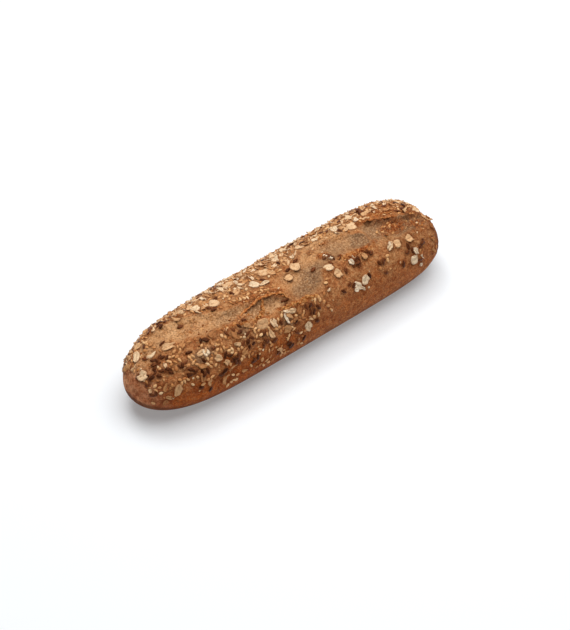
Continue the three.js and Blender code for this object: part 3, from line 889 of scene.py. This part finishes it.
def add_flake(number, x, angle, length, width, turn, lean, tone, lift=0.3):
    thickness = FLAKE_THICKNESS * draws.between(0.75, 1.15)
    flake = copy_of(flake_kinds[number % len(flake_kinds)], tone, (length, width, thickness))
    flat = lerp(1, 0.4, smoothstep(abs(angle), 58, 78))  # rolling pressed them in at the widest line
    lay_on(flake, x, angle, turn, lean * flat, lift * flat)
    press_in(x, angle, (length + width) / 4, rise=0.35)
    flakes.append(flake)


def on_far_side(x, angle):
    """The chance that a small flake stuck: they are nearly all on the far side."""
    near_side = 0.05 * clumps(x, angle, 31) * (1 if x < 15 else 0.3)
    tip = lerp(1, 0.4, smoothstep(-x, 94, 104))
    return stuck(x, angle) * (tip if angle < -6 else near_side)


for number, place in enumerate(flake_places):
    lean = place[5] + draws.between(*EXTRA_LEAN)
    if number < len(LARGE_FLAKES):
        add_flake(number % WHOLE_FLAKES, *place[:5], lean, LARGE_FLAKES[number][5])
    else:
        tones = FAR_TONES if place[1] < 0 else NEAR_TONES
        add_flake(number, *place[:5], lean, draws.between(*tones))
for number, (*place, tone) in enumerate(ODD_FLAKES):
    add_flake(number, *place, draws.between(*ODD_LEAN), tone, lift=0.8)
small_places = ground.fill(SMALL_FLAKES, SMALL_RADIUS, on_far_side, overlap=0.62)
for number, (x, angle) in enumerate(small_places):
    length = draws.between(*SMALL_LENGTH)
    width = length * draws.between(*SMALL_SLENDERNESS)
    lean, turn, tone = draws.between(*SMALL_LEAN), any_turn(), draws.between(*SMALL_TONES)
    add_flake(number, x, angle, length, width, turn, lean, tone, lift=0.4)
for pattern in flake_kinds:
    bpy.data.objects.remove(pattern)
oat_flakes = joined(flakes, "oat_flakes")


def tone_ramp(tree, stops):
    """The colour of a piece by its tone: (tone, colour) stops in order."""
    node = add_node(tree, "ShaderNodeValToRGB", {"Fac": attribute(tree, "tone")})
    elements = node.color_ramp.elements
    elements[0].color, elements[1].color = seen(*stops[0][1]), seen(*stops[-1][1])
    for tone, colour in stops[1:-1]:
        elements.new(tone).color = seen(*colour)
    return node.outputs["Color"]


OAT_TONES = [
    (0, (150, 88, 48)), (0.3, (200, 142, 90)), (0.6, (230, 185, 137)), (0.85, (243, 213, 173)),
    (1, (244, 223, 193)),
]


def toasted_oat():
    material, tree, shader = new_material("toasted_oat", roughness=0.6, specular=0.1)
    colour = tone_ramp(tree, OAT_TONES)
    browned = times(tree, attribute(tree, "rim"), mottle(tree, 1.8, low=0.35, high=0.6))
    colour = mixed(tree, times(tree, browned, 0.45), colour, seen(172, 104, 52))
    # Painted shade along the crease of each flake.
    creased = times(tree, attribute(tree, "crease"), mottle(tree, 1.5, low=0.35, high=0.6))
    colour = mixed(tree, times(tree, creased, 0.55), colour, seen(150, 92, 46))
    colour = spotted(tree, colour, 1.3, 0.3, 0.35, (168, 104, 54))
    coat(tree, shader, colour, mottle(tree, 0.8, low=0, high=1), distance=0.5)
    return material


oat_flakes.data.materials.append(toasted_oat())
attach(oat_flakes, "root")
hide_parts("baguette")

# ---- Linseeds ----
# Brown linseed (flax): flat glossy teardrops that swell and cling together in small groups, some
# lying over the others.

LINSEED_SIZE, LINSEED_VARIATION = (4.5, 2.3, 1.3), (0.85, 1.12)
# More places, x and angle: a heap near the narrow end, and the ones that stand out on the far side.
ODD_LINSEEDS = [
    (-104, 12), (-105, 17), (-107, 25), (-106, 32), (-102, 14), (-98, 11), (-96, 15), (-103, 27),
    (-114, -54), (-112, -48), (-86, -56), (-83, -48), (-74, -45), (-63, -46), (-48, -36), (-40, -38),
    (-39, -31), (0, -36), (20, -33), (47, -40), (62, -43), (73, -37), (76, -33), (94, -30), (101, -18),
    (-84, -25), (-51, -35), (58, -26), (82, -31), (91, -17), (94, -1), (99, -3), (106, -15),
]
ODD_LINSEED_TURN = (-40, 40)
MORE_LINSEEDS = 30
# Seeds that lie over a group: their share of it, and how far they lie from its middle.
PILED_SHARE, PILED_ALONG, PILED_AROUND = 0.7, (-1.5, 1.5), (-4, 4)


def teardrop(name, segments, rings, tip):
    """A seed 1 unit each way lying along X, blunt at one end and drawn out at the other."""
    deselect_all()
    turned = (0, pi / 2, 0)
    bpy.ops.mesh.primitive_uv_sphere_add(segments=segments, ring_count=rings, radius=0.5, rotation=turned)
    seed = named(name)
    bpy.ops.object.transform_apply(location=True, rotation=True, scale=True)
    edit_all_points()
    for start, narrowing in ((0.1, 0.92), (0.25, 0.85), (0.38, tip)):
        select_points(seed, lambda co: co.x > start)
        bpy.ops.transform.resize(value=(1, narrowing, narrowing), center_override=(0, 0, 0))
    bpy.ops.object.mode_set(mode="OBJECT")
    bpy.ops.object.shade_smooth()
    return seed


def clumped(x, angle):
    """The chance that a seed stuck: in clumps, and hardly on the near side of the blunt half."""
    blunt_half = 0.1 if angle > 10 and x > 15 else 1
    return stuck(x, angle) * clumps(x, angle, 47) * blunt_half


def mostly_far(x, angle):
    return clumped(x, angle) * (1 if angle < 0 else 0.2)


linseed = teardrop("linseed", 12, 8, 0.55)
linseed_copies = []


def add_linseed(x, angle, turn, lift=0.4, lean=22):
    size = [side * draws.between(*LINSEED_VARIATION) for side in LINSEED_SIZE]
    seed = copy_of(linseed, draws.share(), size)
    lay_on(seed, x, angle, turn, draws.between(-lean, lean), lift)
    press_in(x, angle, LINSEED_RADIUS, rise=0.3)
    linseed_copies.append(seed)


for x, angle, turn in linseed_places:
    add_linseed(x, angle, turn)
for x, angle in ODD_LINSEEDS:
    add_linseed(x, angle, draws.between(*ODD_LINSEED_TURN), lift=0.8)
for x, angle in ground.fill(MORE_LINSEEDS, LINSEED_RADIUS, mostly_far):
    add_linseed(x, angle, any_turn())
for x, angle, number in LINSEED_CLUSTERS:
    for i in range(number - 1):
        if draws.share() < PILED_SHARE:
            along, around = draws.between(*PILED_ALONG), draws.between(*PILED_AROUND)
            add_linseed(x + along, angle + around, any_turn(), lift=1.1, lean=45)
bpy.data.objects.remove(linseed)
linseeds = joined(linseed_copies, "linseeds")


def linseed_hull():
    material, tree, shader = new_material("linseed_hull", roughness=0.3, specular=0.16)
    shader.inputs["Specular Tint"].default_value = (1, 0.62, 0.4, 1)
    dark = mixed(tree, attribute(tree, "tone"), seen(66, 28, 9), seen(126, 68, 36))
    dark = mixed(tree, mottle(tree, 0.9, low=0.45, high=0.7), dark, seen(42, 16, 5))
    coat(tree, shader, dark, mottle(tree, 0.6, low=0, high=1), distance=0.3)
    return material


linseeds.data.materials.append(linseed_hull())
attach(linseeds, "root")
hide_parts("baguette")

# ---- Sesame ----
# Hulled sesame: small golden teardrops. They stuck in clumps wherever the flakes and the linseeds
# left room, and are pressed into the dough like them.

SESAMES = 440
SESAME_SIZE, SESAME_VARIATION, SESAME_RADIUS = (3.1, 1.9, 1.1), (0.82, 1.15), 1.15
SESAME_LEAN = (-30, 30)


def sesame_chance(x, angle):
    """In clumps like the linseeds, and in a band low on the near side."""
    low_band = 0.4 * clumps(x, angle, 47) if -70 < x < 2 and 74 < angle else 0
    return max(clumped(x, angle), low_band)


sesame = teardrop("sesame", 10, 6, 0.5)
sesame_copies = []
for x, angle in ground.fill(SESAMES, SESAME_RADIUS, sesame_chance):
    size = [side * draws.between(*SESAME_VARIATION) for side in SESAME_SIZE]
    seed = copy_of(sesame, draws.share(), size)
    lay_on(seed, x, angle, any_turn(), draws.between(*SESAME_LEAN), lift=0.35)
    press_in(x, angle, SESAME_RADIUS, rise=0.22, width=0.7)
    sesame_copies.append(seed)
bpy.data.objects.remove(sesame)
sesame_seeds = joined(sesame_copies, "sesame_seeds")

SESAME_TONES = [
    (0, (172, 104, 52)), (0.35, (208, 144, 86)), (0.85, (232, 182, 126)), (1, (240, 204, 156)),
]


def sesame_skin():
    material, tree, shader = new_material("sesame_skin", roughness=0.45, specular=0.2)
    shade = times(tree, mottle(tree, 0.9, low=0.5, high=0.7), 0.5)
    colour = mixed(tree, shade, tone_ramp(tree, SESAME_TONES), seen(168, 108, 60))
    coat(tree, shader, colour, mottle(tree, 0.7, low=0, high=1), distance=0.2)
    return material


sesame_seeds.data.materials.append(sesame_skin())
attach(sesame_seeds, "root")
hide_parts("baguette")

# ---- Crumbs ----
# Bits of oat that broke off in the rolling and shreds of crust that tore off in the oven. They stuck
# in the gaps between the other toppings and along the torn edges of the slashes.

CRUMBS, CRUMB_RADIUS, CRUMB_SIZE = 900, 0.5, (0.8, 2.2)
CRUMB_SLENDERNESS, CRUMB_FLATNESS = (0.5, 0.9), 0.6
CRUMB_LEAN = (-25, 25)
EDGE_SHARE, EDGE_STRETCH = 0.5, 0.7  # how thick they lie on the torn edges, and how much longer there
deselect_all()
bpy.ops.mesh.primitive_ico_sphere_add(subdivisions=1, radius=0.5)
crumb = named("crumb")
edit_all_points()
bpy.ops.transform.vertex_random(offset=0.14, uniform=0.5, normal=0, seed=3)
bpy.ops.object.mode_set(mode="OBJECT")


def gaps_and_edges(x, angle):
    gaps = coverage(x, angle) * lerp(0.3, 1, clumps(x, angle, 5)) * (0.3 if angle > 10 else 1)
    return max(gaps, EDGE_SHARE * patchiness(TORN_PATCHES, x, angle))


crumb_copies = []
for x, angle in ground.fill(CRUMBS, CRUMB_RADIUS, gaps_and_edges):
    size = draws.between(*CRUMB_SIZE)
    shred = 1 + EDGE_STRETCH * patchiness(TORN_PATCHES, x, angle)
    tone = draws.share()
    width = size * draws.between(*CRUMB_SLENDERNESS)
    bit = copy_of(crumb, tone, (size * shred, width, size * CRUMB_FLATNESS))
    lay_on(bit, x, angle, any_turn() / shred ** 3, draws.between(*CRUMB_LEAN), lift=0.25)
    crumb_copies.append(bit)
bpy.data.objects.remove(crumb)
crumbs = joined(crumb_copies, "crumbs")

CRUMB_TONES = [(0, (140, 78, 36)), (0.4, (190, 124, 68)), (0.85, (228, 174, 116)), (1, (238, 212, 172))]


def browned_crumb():
    material, tree, shader = new_material("browned_crumb", roughness=0.6, specular=0.08)
    colour = mixed(tree, spots(tree, 0.8, 0.4, 0.5), tone_ramp(tree, CRUMB_TONES), seen(140, 84, 42))
    tree.links.new(colour, shader.inputs["Base Color"])
    return material


crumbs.data.materials.append(browned_crumb())
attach(crumbs, "root")
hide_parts("baguette")

# ---- Table, light and camera ----
# A plain white table that glows a little, like a lit sweep, under a wide soft lamp hung overhead
# towards the blunt end, with a small lamp behind the loaf and a faint light from all round.

TABLE_SIDE = 8
TABLE_GLOW, ROOM_GLOW = 0.26, 0.05
deselect_all()
bpy.ops.mesh.primitive_plane_add(size=TABLE_SIDE)
table = named("table")
white, tree, shader = new_material("white_table", roughness=0.9, specular=0.1)
# Faintly blue, against the warm light that the crust throws onto the table round the loaf.
shader.inputs["Base Color"].default_value = (0.677, 0.7, 0.724, 1)
shader.inputs["Emission Color"].default_value = (1, 1, 1, 1)
shader.inputs["Emission Strength"].default_value = TABLE_GLOW
table.data.materials.append(white)

scene = bpy.context.scene
scene.view_settings.view_transform = "Standard"
room = bpy.data.worlds.new("white_room")
room.use_nodes = True
room.node_tree.nodes["Background"].inputs["Color"].default_value = (1, 1, 1, 1)
room.node_tree.nodes["Background"].inputs["Strength"].default_value = ROOM_GLOW
scene.world = room

VIEW_AZIMUTH, VIEW_ELEVATION = -39.3, 45
CAMERA_DISTANCE, LENS = 1.6, 146.3
SIGHT = Vector((0, 0, 25 * MM))
SIGHT_OFFSET = (1.4 * MM, -9.4 * MM)  # how far right of and above that point the camera aims


def direction(azimuth, elevation):
    """From the loaf towards a bearing: azimuth 0 is the near side, 90 the blunt end."""
    a, e = radians(azimuth), radians(elevation)
    return Vector((sin(a) * cos(e), -cos(a) * cos(e), sin(e)))


def soft_lamp(name, azimuth, elevation, distance, side, power):
    bpy.ops.object.light_add(type="AREA", location=direction(azimuth, elevation) * distance)
    lamp = named(name)
    lamp.data.shape, lamp.data.size, lamp.data.energy = "SQUARE", side, power
    lamp.rotation_mode = "QUATERNION"
    lamp.rotation_quaternion = (-direction(azimuth, elevation)).to_track_quat("-Z", "Y")


soft_lamp("wide_lamp", azimuth=90, elevation=80, distance=1.5, side=1.6, power=28.4)
soft_lamp("back_lamp", azimuth=170, elevation=60, distance=1.5, side=0.6, power=5.6)

back = direction(VIEW_AZIMUTH, VIEW_ELEVATION)
turn = (-back).to_track_quat("-Z", "Y")
right, above = turn @ Vector((1, 0, 0)), turn @ Vector((0, 1, 0))
aim = SIGHT + right * SIGHT_OFFSET[0] + above * SIGHT_OFFSET[1]
bpy.ops.object.camera_add(location=aim + back * CAMERA_DISTANCE)
camera = named("camera")
camera.rotation_mode = "QUATERNION"
camera.rotation_quaternion = turn
camera.data.lens = LENS
camera.data.clip_start, camera.data.clip_end = 0.05, 20
scene.camera = camera
